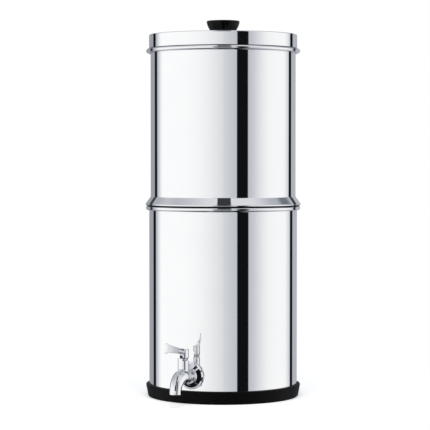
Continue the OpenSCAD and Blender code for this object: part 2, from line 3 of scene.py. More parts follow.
import bpy
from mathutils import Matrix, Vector


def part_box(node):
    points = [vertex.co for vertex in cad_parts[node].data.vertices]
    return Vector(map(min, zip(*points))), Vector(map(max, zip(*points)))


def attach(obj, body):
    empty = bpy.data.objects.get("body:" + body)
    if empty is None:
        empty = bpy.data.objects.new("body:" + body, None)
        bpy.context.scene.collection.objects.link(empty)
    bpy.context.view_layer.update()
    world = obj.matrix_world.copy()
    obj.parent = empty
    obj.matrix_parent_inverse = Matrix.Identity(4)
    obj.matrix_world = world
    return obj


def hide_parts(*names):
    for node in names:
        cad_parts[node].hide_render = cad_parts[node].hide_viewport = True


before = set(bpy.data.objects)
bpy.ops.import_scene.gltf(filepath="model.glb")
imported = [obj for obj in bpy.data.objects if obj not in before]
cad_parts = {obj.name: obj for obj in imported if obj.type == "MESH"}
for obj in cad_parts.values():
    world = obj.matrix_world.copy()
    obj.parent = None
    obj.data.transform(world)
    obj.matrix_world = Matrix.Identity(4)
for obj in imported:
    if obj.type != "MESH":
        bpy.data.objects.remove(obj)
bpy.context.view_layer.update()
MM = 0.001


# ---- Base ring ----
# A moulded rubber ring that the lower chamber stands in. It tapers towards its foot, and both of
# its outer edges are rounded. The rubber is black and matt, with the fine grain of its mould.

class Field:
    """A value that a finish works out at each point: one socket, whose sums are Math nodes."""

    def __init__(self, finish, socket):
        self.finish = finish
        self.socket = socket

    def __add__(self, other):
        return self.finish.maths("ADD", self, other)

    __radd__ = __add__

    def __sub__(self, other):
        return self.finish.maths("SUBTRACT", self, other)

    def __rsub__(self, other):
        return self.finish.maths("SUBTRACT", other, self)

    def __mul__(self, other):
        return self.finish.maths("MULTIPLY", self, other)

    __rmul__ = __mul__

    def __truediv__(self, other):
        return self.finish.maths("DIVIDE", self, other)

    def __pow__(self, other):
        return self.finish.maths("POWER", self, other)


class Finish:
    """One material: the nodes of its pattern, and the shader that they feed."""

    def __init__(self, name, **shader):
        self.material = bpy.data.materials.new(name)
        self.material.use_nodes = True
        self.tree = self.material.node_tree
        self.shader = self.tree.nodes["Principled BSDF"]
        self.feed({key.replace("_", " "): value for key, value in shader.items()})

    def node(self, kind, settings=None, sockets=None, output=0):
        """Any node: its settings are set first, then its sockets get their values or links."""
        made = self.tree.nodes.new(kind)
        for key, value in (settings or {}).items():
            setattr(made, key, value)
        for key, value in (sockets or {}).items():
            self.join(value, made.inputs[key])
        return Field(self, made.outputs[output])

    def join(self, value, socket):
        """Links a field to a socket, or sets the socket to a plain value."""
        if isinstance(value, Field):
            self.tree.links.new(value.socket, socket)
        else:
            socket.default_value = value

    def feed(self, shader):
        """Gives the shader's sockets, by their names, their values or fields."""
        for key, value in shader.items():
            self.join(value, self.shader.inputs[key])

    def maths(self, operation, *values):
        """One Math node on fields or numbers."""
        return self.node("ShaderNodeMath", {"operation": operation}, dict(enumerate(values)))

    def vectors(self, operation, *values, output="Vector"):
        """One Vector Math node on places or directions."""
        return self.node("ShaderNodeVectorMath", {"operation": operation}, dict(enumerate(values)),
                         output)

    def place(self, stretch=(1, 1, 1)):
        """Where the point is on the piece, in metres, stretched for patterns that run one way."""
        return self.vectors("MULTIPLY", self.node("ShaderNodeTexCoord", output="Object"), stretch)

    def level(self, place):
        """The height of a place."""
        return self.node("ShaderNodeSeparateXYZ", None, {0: place}, "Z")

    def clouds(self, size, stretch=(1, 1, 1), detail=2.0):
        """Soft random patches of about this size in metres, from 0 to 1."""
        return self.node("ShaderNodeTexNoise", None,
                         {"Vector": self.place(stretch), "Scale": 1 / size, "Detail": detail})

    def blend(self, mask, low, high):
        """The colour low where mask is 0, and high where it is 1. Either may be a blend itself."""
        low, high = (colour if isinstance(colour, Field) else (*colour, 1) for colour in (low, high))
        return self.node("ShaderNodeMix", {"data_type": "RGBA"}, {0: mask, 6: low, 7: high}, 2)

    def step_up(self, value, edge, soft):
        """0 below the edge and 1 above it, with a soft change."""
        return self.node("ShaderNodeMapRange", {"interpolation_type": "SMOOTHSTEP"},
                         {"Value": value, "From Min": edge - soft / 2, "From Max": edge + soft / 2})

    def between(self, value, low, high, soft):
        """1 between two edges and 0 beyond them."""
        return self.step_up(value, low, soft) * (1 - self.step_up(value, high, soft))

    def relief(self, height, depth, over=None):
        """A bump of this depth in metres, on top of another one."""
        sockets = {"Height": height, "Distance": depth, "Strength": 1.0}
        if over is not None:
            sockets["Normal"] = over
        return self.node("ShaderNodeBump", None, sockets)


def arc(centre, radius, start, end, steps):
    """Points along a circle, from one angle in degrees to another."""
    return [(centre[0] + radius * cos(radians(start + (end - start) * i / steps)),
             centre[1] + radius * sin(radians(start + (end - start) * i / steps)))
            for i in range(steps + 1)]


def held(outline, reach=0.4 * MM):
    """The outline with a point near both ends of each long straight, so that its shading stays flat."""
    points = [outline[0]]
    for here, there in zip(outline, outline[1:]):
        run = (there[0] - here[0], there[1] - here[1])
        length = hypot(*run)
        if length > 4 * reach:
            for far in (reach / length, 1 - reach / length):
                points.append((here[0] + far * run[0], here[1] + far * run[1]))
        points.append(there)
    return points


def tangent(start, start_radius, end, end_radius):
    """The direction, in degrees, of the normal of the line that runs outside two circles."""
    run = (end[0] - start[0], end[1] - start[1])
    return degrees(atan2(run[1], run[0]) + asin((start_radius - end_radius) / hypot(*run))) - 90


def shade():
    """Shades the selected piece smooth, apart from its sharp edges."""
    bpy.ops.object.shade_smooth_by_angle(angle=radians(35))


def turned(name, outline, steps=192):
    """A round piece: its outline of (radius, height) points, extruded one by one and spun."""
    bpy.ops.object.select_all(action="DESELECT")
    bpy.ops.mesh.primitive_plane_add(size=MM, location=(outline[0][0], 0, outline[0][1]))
    piece = bpy.context.object
    piece.name = piece.data.name = name
    bpy.ops.object.transform_apply(location=True, rotation=True, scale=True)
    bpy.ops.object.mode_set(mode="EDIT")
    bpy.ops.mesh.select_all(action="SELECT")
    bpy.ops.mesh.merge(type="CENTER")
    for here, there in zip(outline, outline[1:]):
        step = (there[0] - here[0], 0, there[1] - here[1])
        bpy.ops.mesh.extrude_region_move(TRANSFORM_OT_translate={"value": step})
    bpy.ops.mesh.select_all(action="SELECT")
    bpy.ops.mesh.spin(steps=steps, angle=2 * pi, center=(0, 0, 0), axis=(0, 0, 1))
    bpy.ops.mesh.select_all(action="SELECT")
    bpy.ops.mesh.remove_doubles(threshold=MM / 2000)
    bpy.ops.mesh.normals_make_consistent(inside=False)
    bpy.ops.object.mode_set(mode="OBJECT")
    shade()
    return piece


def settle(piece, body, finish, node):
    """Gives a piece its finish and its body, and hides the node that it stands for."""
    piece.data.materials.clear()
    piece.data.materials.append(finish.material)
    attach(piece, body)
    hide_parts(node)


def moulded_rubber():
    """Matt black rubber with the fine grain of its mould, and greyer where hands and dust reach."""
    rubber = Finish("moulded_rubber", Specular_IOR_Level=0.06)
    dust = rubber.clouds(30 * MM, detail=4)
    grain = rubber.clouds(0.6 * MM, detail=3)
    rubber.feed({
        "Base Color": rubber.blend(dust, (0.0015, 0.0015, 0.0016), (0.004, 0.004, 0.0041)),
        "Roughness": 0.38 + 0.2 * dust,
        "Normal": rubber.relief(grain, 0.05 * MM),
    })
    return rubber


LOWER_RIM_REACH = 4.8 * MM
base_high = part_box("base_ring")[1]
lower_low, lower_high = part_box("lower_chamber")
wall_r = lower_high.x - LOWER_RIM_REACH

BASE_TAPER = 2.6 * MM
BASE_TOP_EDGE = 1.5 * MM
BASE_FOOT_EDGE = 2.5 * MM
BASE_INNER_EDGE = 0.45 * MM
BASE_GAP = 0.05 * MM
LIP_W = 10 * MM
base_top = (base_high.x - BASE_TOP_EDGE, base_high.z - BASE_TOP_EDGE)
base_foot = (base_high.x - BASE_TAPER - BASE_FOOT_EDGE, BASE_FOOT_EDGE)
base_side = tangent(base_foot, BASE_FOOT_EDGE, base_top, BASE_TOP_EDGE)
base_inner = (wall_r + BASE_GAP + BASE_INNER_EDGE, base_high.z - BASE_GAP - BASE_INNER_EDGE)
base_outline = held(
    arc(base_foot, BASE_FOOT_EDGE, -90, base_side, 8)
    + arc(base_top, BASE_TOP_EDGE, base_side, 90, 8)
    + arc(base_inner, BASE_INNER_EDGE, 90, 180, 4)
    + [(wall_r + BASE_GAP, lower_low.z), (wall_r - LIP_W, lower_low.z), (wall_r - LIP_W, 0)])
base_outline.append(base_outline[0])
base_ring = turned("base_ring_rubber", base_outline)
settle(base_ring, "lower", moulded_rubber(), "base_ring")


# ---- Lower chamber ----
# A pan drawn from stainless sheet and polished to a mirror, which holds the filtered water. Its rim
# is rolled outwards to a bead, and the tap's shank goes through a hole near its floor.

def rounded(corners):
    """An outline through corners of (radius, height, bend), with each corner bent to that radius."""
    points = [corners[0][:2]]
    for before, here, after in zip(corners, corners[1:], corners[2:]):
        bend = here[2]
        into = Vector(here[:2]) - Vector(before[:2])
        away = Vector(after[:2]) - Vector(here[:2])
        turn = into.normalized().angle_signed(away.normalized())
        if not bend:
            points.append(here[:2])
            continue
        reach = bend * tan(abs(turn) / 2)
        first = Vector(here[:2]) - reach * into.normalized()
        side = -1 if turn > 0 else 1
        middle = first + bend * side * Vector((-into.y, into.x)).normalized()
        from_angle = degrees(atan2(*(first - middle).yx))
        steps = max(3, int(abs(degrees(turn)) / 8))
        points += arc(middle, bend, from_angle, from_angle - degrees(turn), steps)
    return points + [corners[-1][:2]]


def rim_corners(middle_r, reach, curl_r, top):
    """The corners of a rolled rim, from the wall over the top and round the curl."""
    outside = middle_r + reach
    bend = curl_r - HALF
    foot = top - 2 * curl_r + HALF
    return [(middle_r, top - HALF, RIM_CORNER - HALF), (outside, top - HALF, bend),
            (outside, foot, bend), (middle_r + CURL_OPEN, foot, 0)]


def pick(piece):
    """Selects one piece and nothing else."""
    bpy.ops.object.select_all(action="DESELECT")
    bpy.context.view_layer.objects.active = piece
    piece.select_set(True)


def modify(piece, kind, **settings):
    """Adds a modifier to a piece, sets it and applies it."""
    pick(piece)
    modifier = piece.modifiers.new(kind.lower(), kind)
    for key, value in settings.items():
        setattr(modifier, key, value)
    bpy.ops.object.modifier_apply(modifier=modifier.name)


def thicken(piece):
    """Gives a sheet its thickness, half to each side of its middle."""
    modify(piece, "SOLIDIFY", thickness=SHEET, offset=0, use_even_offset=True)
    shade()


def cut_away(piece, cutter):
    """Cuts the shape of one mesh out of another one."""
    modify(piece, "BOOLEAN", operation="DIFFERENCE", solver="EXACT", object=cutter)
    bpy.data.objects.remove(cutter)
    shade()


def drill(piece, radius, place, turn=(0, 0, 0)):
    """Bores a round hole through a sheet."""
    bpy.ops.object.select_all(action="DESELECT")
    bpy.ops.mesh.primitive_cylinder_add(vertices=64, radius=radius, depth=DRILL_L, location=place,
                                        rotation=turn)
    cut_away(piece, bpy.context.object)


def polished_steel(name, shaded_seats, rims, hoops=0.0):
    """Mirror-polished sheet, brushed on its rims, and rougher with painted shade in its seats, where it
    meets its neighbours.
    """
    steel = Finish(name, Metallic=1.0)
    waves = steel.clouds(160 * MM, detail=0)
    wear = steel.clouds(45 * MM, detail=4)
    wheel = steel.clouds(1.1 * MM, (0.004, 0.004, 1), detail=3)
    level = steel.level(steel.place())
    # The seats get painted shade: a near-black colour for the shadow in the joints, and more roughness.
    painted_shade = sum(steel.between(level, low, high, soft=0.2 * MM) for low, high in shaded_seats)
    brushed = sum(steel.between(level, low, high, soft=0.6 * MM) for low, high in rims)
    polish = steel.blend(wear, (0.875, 0.88, 0.89), (0.905, 0.908, 0.915))
    steel.feed({
        "Base Color": steel.blend(painted_shade, polish, (0.06, 0.06, 0.062)),
        "Roughness": 0.018 + 0.02 * wear + hoops * wheel + 0.08 * brushed + 0.5 * painted_shade,
        "Normal": steel.relief(wheel, 0.0005 * MM, steel.relief(waves, 0.03 * MM)),
    })
    return steel


SHEET = 0.8 * MM
HALF = SHEET / 2
FLOOR_CORNER = 6 * MM
RIM_CORNER = 1.5 * MM
LOWER_CURL = 3.5 * MM
CURL_OPEN = 1.3 * MM
LOWER_SEAT = 1.0 * MM
HOLE_R = 8.3 * MM
HOLE_BAND = 10.5 * MM
DRILL_L = 8 * MM
flange_low, flange_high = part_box("tap_flange")
tap_z = (flange_low.z + flange_high.z) / 2
lower_middle = wall_r - HALF
lower_chamber = turned("lower_chamber_steel", held(rounded(
    [(0, lower_low.z + HALF, 0), (lower_middle, lower_low.z + HALF, FLOOR_CORNER - HALF),
     (lower_middle, tap_z - HOLE_BAND, 0), (lower_middle, tap_z + HOLE_BAND, 0)]
    + rim_corners(lower_middle, LOWER_RIM_REACH, LOWER_CURL, lower_high.z))))
thicken(lower_chamber)
drill(lower_chamber, HOLE_R, (0, -wall_r, tap_z), (pi / 2, 0, 0))
# Painted shade darkens the rim's top, where the upper chamber's fold rests on it.
lower_shaded_seat = (lower_high.z - LOWER_SEAT, lower_high.z + SHEET)
lower_rim = (lower_high.z - 2 * LOWER_CURL, lower_high.z + SHEET)
settle(lower_chamber, "lower",
       polished_steel("lower_chamber_polish", [lower_shaded_seat], [lower_rim]), "lower_chamber")


# ---- Tap seals and shank nut ----
# Two soft washers, hollowed to the curve of the wall, and the brass nut that pulls them tight from
# inside the chamber. They keep their own shapes.

def dress(finish, *nodes):
    """Gives nodes that keep their own shape their finish."""
    for node in nodes:
        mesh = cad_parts[node].data
        mesh.materials.clear()
        mesh.materials.append(finish.material)


def machined_brass():
    """Turned brass: fine tool rings, a soft gloss and slightly darker patches."""
    brass = Finish("machined_brass", Metallic=1.0)
    tarnish = brass.clouds(9 * MM, detail=4)
    rings = brass.clouds(0.35 * MM, (1, 0.02, 1), detail=2)
    brass.feed({
        "Base Color": brass.blend(tarnish, (0.56, 0.41, 0.16), (0.78, 0.6, 0.29)),
        "Roughness": 0.2 + 0.15 * tarnish,
        "Normal": brass.relief(rings, 0.01 * MM),
    })
    return brass


def seal_rubber():
    """Soft dark grey rubber with a fine talc bloom."""
    seal = Finish("seal_rubber", Specular_IOR_Level=0.3)
    bloom = seal.clouds(6 * MM, detail=5)
    seal.feed({
        "Base Color": seal.blend(bloom, (0.03, 0.03, 0.032), (0.075, 0.075, 0.078)),
        "Roughness": 0.55 + 0.25 * bloom,
        "Normal": seal.relief(seal.clouds(0.5 * MM), 0.03 * MM),
    })
    return seal


brass = machined_brass()
seal = seal_rubber()
dress(seal, "outer_washer", "inner_washer")
dress(brass, "shank_nut")


# ---- Tap flange ----
# A pressed rosette that hides the washer and the hole: a thin rim, a rounded shoulder, a cone and a
# neck round the shank. Its back follows the curve of the wall. It is chrome-plated.

def chrome(name, satin=0.0, shaded_hollow=None):
    """Polished plating over an uneven casting. In a hollow, given as (y, radius, height), painted shade
    darkens it and it is rougher.
    """
    plating = Finish(name, Metallic=1.0)
    uneven = plating.clouds(14 * MM, detail=2)
    wear = plating.clouds(5 * MM, detail=5)
    colour = plating.blend(wear, (0.83, 0.84, 0.86), (0.88, 0.885, 0.9))
    roughness = 0.03 + satin + 0.04 * wear
    if shaded_hollow:
        y, radius, height = shaded_hollow
        here = plating.vectors("SUBTRACT", plating.place(), (0, y, 0))
        flat = plating.vectors("MULTIPLY", here, (1, 1, 0))
        away = plating.vectors("LENGTH", flat, output="Value")
        # Painted shade: the hollow is darkened as if in shadow, and made rough.
        painted_shade = (1 - plating.step_up(away, radius, soft=0.6 * MM)) * (
            1 - plating.step_up(plating.level(here), height, soft=0.6 * MM))
        colour = plating.blend(painted_shade, colour, (0.05, 0.05, 0.052))
        roughness = roughness + 0.45 * painted_shade
    plating.feed({
        "Base Color": colour,
        "Roughness": roughness,
        "Normal": plating.relief(uneven, 0.12 * MM),
    })
    return plating


def put(piece, place, turn=(0, 0, 0)):
    """Turns a piece about the origin and then moves it to its place."""
    pick(piece)
    bpy.ops.object.transform_apply(location=True, rotation=True, scale=True)
    piece.rotation_euler = turn
    piece.location = place
    bpy.ops.object.transform_apply(location=True, rotation=True, scale=True)
    return piece


FLANGE_H = 9 * MM
FLANGE_BACK = 2.8 * MM
FLANGE_EDGE = 0.9 * MM
FLANGE_EDGE_Z = 0.6 * MM
SHOULDER = (flange_high.x - 2.6 * MM, 1.9 * MM)
SHOULDER_R = 1.4 * MM
SHOULDER_IN = 0.9 * MM
CONE_TOP = (12.2 * MM, 6.4 * MM)
CONE_FILLET = 2.4 * MM
CONE_FILLET_OFF = (1.3 * MM, 1.9 * MM)
ROSETTE_NECK_R = 10.8 * MM
NECK_EDGE = 0.5 * MM
SEAT_R = 15.3 * MM
WASHER_SEAT = 3 * MM
WALL_GAP = 0.05 * MM
WALL_CUT_H = 0.1
flange_outline = held(
    [(flange_high.x, -FLANGE_BACK)]
    + arc((flange_high.x - FLANGE_EDGE, FLANGE_EDGE_Z), FLANGE_EDGE, 0, 70, 5)
    + arc((SHOULDER[0] - SHOULDER_IN, SHOULDER[1] - SHOULDER_IN), SHOULDER_R, 78, 52, 4)
    + arc((CONE_TOP[0] + CONE_FILLET_OFF[0], CONE_TOP[1] + CONE_FILLET_OFF[1]), CONE_FILLET,
          -128, -180, 6)
    + arc((ROSETTE_NECK_R - NECK_EDGE, FLANGE_H - NECK_EDGE), NECK_EDGE, 0, 90, 4)
    + [(HOLE_R, FLANGE_H), (HOLE_R, WASHER_SEAT), (SEAT_R, WASHER_SEAT), (SEAT_R, -FLANGE_BACK)],
    0.2 * MM)
flange_outline.append(flange_outline[0])
tap_flange = turned("tap_flange_chrome", flange_outline, 128)
put(tap_flange, (0, -wall_r, tap_z), (pi / 2, 0, 0))
bpy.ops.object.select_all(action="DESELECT")
bpy.ops.mesh.primitive_cylinder_add(vertices=720, radius=wall_r + WALL_GAP, depth=WALL_CUT_H,
                                    location=(0, 0, tap_z))
cut_away(tap_flange, bpy.context.object)
plating = chrome("tap_chrome")
settle(tap_flange, "lower", plating, "tap_flange")


# ---- Tap body ----
# One brass casting, polished and plated: the shank through the wall, a collar, a barrel that swells
# into the bent spout, and the boss that holds the valve, with a lug that stops the handle.

def pulled(name, rings):
    """A round bar through rings of (y, z, downward turn in degrees, radius), each from the last."""
    y, z, turn, radius = rings[0]
    bpy.ops.object.select_all(action="DESELECT")
    bpy.ops.mesh.primitive_circle_add(vertices=64, radius=radius, fill_type="NGON",
                                      location=(0, y, z), rotation=(pi / 2, 0, 0))
    bpy.ops.object.transform_apply(location=True, rotation=True, scale=True)
    piece = bpy.context.object
    piece.name = piece.data.name = name
    bpy.ops.object.mode_set(mode="EDIT")
    bpy.ops.mesh.select_all(action="SELECT")
    for next_y, next_z, next_turn, next_radius in rings[1:]:
        step = (0, next_y - y, next_z - z)
        middle = (0, next_y, next_z)
        bpy.ops.mesh.extrude_region_move(TRANSFORM_OT_translate={"value": step})
        if next_turn != turn:
            bpy.ops.transform.rotate(value=radians(turn - next_turn), orient_axis="X",
                                     orient_type="GLOBAL", center_override=middle)
        if next_radius != radius:
            size = next_radius / radius
            bpy.ops.transform.resize(value=(size, size, size), center_override=middle)
        y, z, turn, radius = next_y, next_z, next_turn, next_radius
    bpy.ops.object.mode_set(mode="OBJECT")
    return piece


def fuse(name, parts, grid, rounds):
    """Joins solids into one casting, and softens the corners where they meet."""
    bpy.ops.object.select_all(action="DESELECT")
    for part in parts:
        part.select_set(True)
    bpy.context.view_layer.objects.active = parts[0]
    bpy.ops.object.join()
    casting = bpy.context.object
    casting.name = casting.data.name = name
    modify(casting, "REMESH", mode="VOXEL", voxel_size=grid)
    modify(casting, "SMOOTH", factor=0.5, iterations=rounds)
    shade()
    return casting


def rod(radius, low, high, place, turn=(0, 0, 0)):
    """A round solid from one height to another, before it is turned about its place."""
    bpy.ops.object.select_all(action="DESELECT")
    bpy.ops.mesh.primitive_cylinder_add(vertices=64, radius=radius, depth=high - low,
                                        location=(0, 0, (low + high) / 2))
    return put(bpy.context.object, place, turn)


def block(size, place, turn):
    """A cutting block whose near face goes through its place, and that reaches from it along x."""
    bpy.ops.object.select_all(action="DESELECT")
    bpy.ops.mesh.primitive_cube_add(size=2 * size, location=(size, 0, 0))
    return put(bpy.context.object, place, turn)


plug_low, plug_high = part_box("valve_plug")
hub_y = (plug_low.y + plug_high.y) / 2
body_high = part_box("tap_body")[1]
SHANK_R = 8 * MM
SHANK_BEVEL = 0.7 * MM
COLLAR_R = 10 * MM
COLLAR_T = 2 * MM
COLLAR_FACE = 0.1 * MM
BARREL_R = 7.5 * MM
BARREL_FROM = 3 * MM
FILLET_R = 0.5 * MM
FILLET_FROM = 0.9 * MM
SWELL = 12 * MM
SWELL_STEPS = 8
SPOUT_RISE = 1.4 * MM
BEND_RUN = 5 * MM
BEND_R = 20.4 * MM
BEND_START_R = 10.9 * MM
BEND_STEPS = 28
OUTLET_R = 8.4 * MM
OUTLET_TIP = 2 * MM
collar_y = -wall_r - FLANGE_H
bend_y = hub_y - BEND_RUN
spout_z = tap_z + SPOUT_RISE
rings = [(body_high.y, tap_z, 0, SHANK_R - SHANK_BEVEL),
         (body_high.y - SHANK_BEVEL, tap_z, 0, SHANK_R),
         (collar_y, tap_z, 0, SHANK_R), (collar_y - COLLAR_FACE, tap_z, 0, COLLAR_R),
         (collar_y - COLLAR_T, tap_z, 0, COLLAR_R),
         (collar_y - COLLAR_T - FILLET_FROM, tap_z, 0, BARREL_R + FILLET_R),
         (collar_y - COLLAR_T - BARREL_FROM, tap_z, 0, BARREL_R)]
for i in range(SWELL_STEPS + 1):
    share = i / SWELL_STEPS
    ease = share * share * (3 - 2 * share)
    rings.append((hub_y + SWELL + share * (bend_y - hub_y - SWELL), tap_z + SPOUT_RISE * ease, 0,
                  BARREL_R + (BEND_START_R - BARREL_R) * ease))
for i in range(1, BEND_STEPS + 1):
    share = i / BEND_STEPS
    turn = 90 * share
    rings.append((bend_y - BEND_R * sin(radians(turn)), spout_z - BEND_R * (1 - cos(radians(turn))),
                  turn, BEND_START_R + (OUTLET_R - BEND_START_R) * sin(pi / 2 * share)))
outlet_y = bend_y - BEND_R
outlet_z = spout_z - BEND_R - OUTLET_TIP
rings.append((outlet_y, outlet_z, 90, OUTLET_R))
casting = pulled("tap_body_chrome", rings)

BOSS_R = 7.85 * MM
NUT_SINK = 0.5 * MM
LUG_SIDE = -115
LUG_HALF = 44
boss_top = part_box("gland_nut")[1].z + NUT_SINK
lug_h = body_high.z - boss_top
boss = rod(BOSS_R, tap_z, boss_top, (0, hub_y, 0))
lug = rod(BOSS_R, boss_top - lug_h, boss_top + lug_h, (0, hub_y, 0))
for edge in (LUG_SIDE + LUG_HALF + 90, LUG_SIDE - LUG_HALF - 90):
    cut_away(lug, block(2 * BOSS_R, (0, hub_y, boss_top), (0, 0, radians(edge))))
tap_body = fuse("tap_body_chrome", [casting, boss, lug], grid=0.3 * MM, rounds=6)

SPOUT_BORE_R = 5.8 * MM
SPOUT_BORE_H = 9 * MM
VALVE_BORE_R = 5.5 * MM
VALVE_FLOOR = 4 * MM
WATERWAY_R = 3.5 * MM
OVERRUN = 5 * MM
cut_away(tap_body, rod(SPOUT_BORE_R, outlet_z - OVERRUN, outlet_z + SPOUT_BORE_H, (0, outlet_y, 0)))
cut_away(tap_body, rod(VALVE_BORE_R, tap_z - VALVE_FLOOR, boss_top + OVERRUN, (0, hub_y, 0)))
cut_away(tap_body, rod(WATERWAY_R, 0, body_high.y - hub_y + OVERRUN, (0, hub_y, tap_z), (-pi / 2, 0, 0)))
settle(tap_body, "lower", plating, "tap_body")


# ---- Valve ----
# A brass plug turns in a slippery white sleeve, sealed by two rings, under a washer and a slotted
# gland nut. All of it is hidden in the boss and under the hub, and keeps its own shape.

def moulded_white():
    """Moulded white plastic: a satin surface, a shade warmer in places."""
    plastic = Finish("moulded_white", Specular_IOR_Level=0.5)
    tint = plastic.clouds(12 * MM, detail=3)
    plastic.feed({
        "Base Color": plastic.blend(tint, (0.7, 0.7, 0.67), (0.8, 0.8, 0.78)),
        "Roughness": 0.32 + 0.12 * tint,
        "Normal": plastic.relief(plastic.clouds(1.2 * MM, detail=3), 0.015 * MM),
    })
    return plastic


white = moulded_white()
dress(brass, "valve_plug", "gland_nut")
dress(white, "valve_sleeve", "glide_washer")
dress(seal, "plug_seals")


# ---- Handle ----
# A chrome-plated casting: a hub whose skirt is half cut away for the stop lug, and a lever with a
# round neck, whose wedge-shaped blade rises forwards and ends in a lip. A cap hides the screw.

HUB_GAP = 0.4 * MM
HUB_H = 15.8 * MM
HUB_R = 8 * MM
HUB_EDGE = 0.8 * MM
SKIRT_R = 6 * MM
SKIRT_FLARE = 4 * MM
STEP_SIDE = -160
STEP_SLOPE = 30
ROOF = 9.7 * MM
hub_z = boss_top + HUB_GAP
hub_top = hub_z + HUB_H
hub = turned("hub", [(0, hub_z), (SKIRT_R, hub_z), (HUB_R, hub_z + SKIRT_FLARE),
                     (HUB_R, hub_top - HUB_EDGE), (HUB_R - HUB_EDGE, hub_top), (0, hub_top)], 96)
put(hub, (0, hub_y, 0))
step = block(3 * HUB_H, (0, 0, 0), (0, 0, 0))
cut_away(step, block(9 * HUB_H, (0, 0, 0), (0, -radians(90 + STEP_SLOPE), 0)))
put(step, (0, hub_y, hub_top - ROOF), (0, 0, radians(STEP_SIDE)))
cut_away(hub, step)

LEVER_RISE = 10.5
LEVER_REACH = 54.5 * MM
LEVER_START = 5 * MM
LEVER_SINK = 0.3 * MM
LEVER_T = 4.5 * MM
LEVER_ROOT_T = 7.2 * MM
NECK_R = 3.9 * MM
NECK_ROOT_R = 5.2 * MM
NECK_END = 16 * MM
NECK_TAPER = 2.5 * MM
BLADE_ROOT_R = 4.1 * MM
BLADE_END_R = 5.8 * MM
BLADE_EDGE = 0.9 * MM
LIP_R = 6.9 * MM
LIP_L = 3 * MM
LIP_EDGE = 1.2 * MM
rise = radians(LEVER_RISE)
length = (LEVER_REACH - LEVER_START) / cos(rise) - LIP_R * tan(rise) / 2
blade_z = NECK_END - NECK_TAPER
slant = atan2((LEVER_ROOT_T - LEVER_T) / 2, length - blade_z)
blade = turned("blade", held(
    [(0, 0), (BLADE_ROOT_R, 0), (BLADE_END_R, length - LIP_L)]
    + arc((LIP_R - LIP_EDGE, length - LIP_EDGE), LIP_EDGE, -15, 90, 7)
    + [(0, length)], 0.3 * MM), 96)
for side in (0, pi):
    cut_away(blade, put(block(2 * length, (0, 0, 0), (0, -slant, 0)),
                        (LEVER_ROOT_T / 2 * cos(side), 0, blade_z), (0, 0, side)))
cut_away(blade, block(2 * length, (0, 0, blade_z), (0, pi / 2, 0)))
modify(blade, "BEVEL", width=BLADE_EDGE, segments=3, limit_method="ANGLE", angle_limit=radians(40))
neck = turned("neck", [(0, 0), (NECK_ROOT_R, 0), (NECK_R, blade_z), (LEVER_T / 2, NECK_END),
                       (0, NECK_END)], 64)
for side in (-1, 1):
    cut_away(neck, block(2 * length, (0, side * NECK_R, 0), (0, 0, side * pi / 2)))
lever_root = (0, hub_y - LEVER_START * cos(rise),
              hub_top - NECK_R - LEVER_SINK + LEVER_START * sin(rise))
for part in (blade, neck):
    put(part, lever_root, (pi / 2 - rise, 0, 0))

CORE_R = 4.9 * MM
CORE_SINK = 1 * MM
CAP_R = 4 * MM
POCKET_H = 4.4 * MM
SHADE_IN = 0.5 * MM
SHADE_OVER = 1 * MM
core = rod(CORE_R, hub_z, hub_top - CORE_SINK, (0, hub_y, 0))
handle = fuse("tap_handle_chrome", [hub, core, blade, neck], grid=0.22 * MM, rounds=4)
cut_away(handle, rod(CAP_R, hub_top - POCKET_H, hub_top + OVERRUN, (0, hub_y, 0)))
# The hollow under the hub's skirt gets painted shade.
under = (hub_y, SKIRT_R - SHADE_IN, hub_top - ROOF + SHADE_OVER)
settle(handle, "handle", chrome("handle_chrome", 0.05, under), "tap_handle")
dress(plating, "handle_screw", "handle_cap")


# ---- Upper chamber ----
# A second drawn pan, which holds the raw water and the filter elements. Its neck drops into the
# lower chamber, and the fold above the neck rests on the lower rim.

upper_low, upper_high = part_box("upper_chamber")
NEST_GAP = 1.4 * MM
UPPER_RIM_REACH = 6.5 * MM
UPPER_CURL = 3.3 * MM
SEAT_GAP = 0.2 * MM
FOLD_EDGE = 1.7 * MM
FOLD_H = 12.6 * MM
FOLD_FOOT = 1.2 * MM
FOLD_BEND = 1.2 * MM
UPPER_SEAT = 0.9 * MM
RIM_SEAT = 0.5 * MM
STEM_HOLE_R = 6.2 * MM
upper_r = wall_r - SHEET - NEST_GAP
upper_middle = upper_r - HALF
fold_z = lower_high.z + SEAT_GAP
fold_edge = (upper_high.x - FOLD_EDGE, fold_z + FOLD_EDGE)
fold_top = (upper_middle, fold_z + FOLD_H)
slope = radians(tangent(fold_edge, FOLD_EDGE - HALF, fold_top, 0))
reach = fold_edge[0] * cos(slope) + fold_edge[1] * sin(slope) + FOLD_EDGE - HALF
fold_tip = (reach - (fold_z + HALF) * sin(slope)) / cos(slope)
upper_chamber = turned("upper_chamber_steel", held(rounded(
    [(0, upper_low.z + HALF, 0), (upper_middle, upper_low.z + HALF, FLOOR_CORNER - HALF),
     (upper_middle, fold_z + HALF, FOLD_FOOT), (fold_tip, fold_z + HALF, FOLD_EDGE - HALF),
     (*fold_top, FOLD_BEND)]
    + rim_corners(upper_middle, UPPER_RIM_REACH, UPPER_CURL, upper_high.z))))
thicken(upper_chamber)
for side in ("left", "right"):
    stem_low, stem_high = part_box("base_cap_" + side)
    middle = (stem_low + stem_high) / 2
    drill(upper_chamber, STEM_HOLE_R, (middle.x, middle.y, upper_low.z))
# Painted shade darkens the fold's foot on the lower rim, and the rim's top under the lid.
upper_shaded_seats = [(fold_z - SHEET, fold_z + UPPER_SEAT), (upper_high.z - RIM_SEAT, upper_high.z + SHEET)]
upper_rims = [(fold_z - SHEET, fold_z + 2 * FOLD_EDGE),
              (upper_high.z - 2 * UPPER_CURL, upper_high.z + SHEET)]
settle(upper_chamber, "upper",
       polished_steel("upper_chamber_polish", upper_shaded_seats, upper_rims), "upper_chamber")


# ---- Filter elements ----
# Two black carbon blocks between moulded caps. A threaded, drilled stem goes through the floor with
# a rubber washer, and a white wing nut holds it from below.

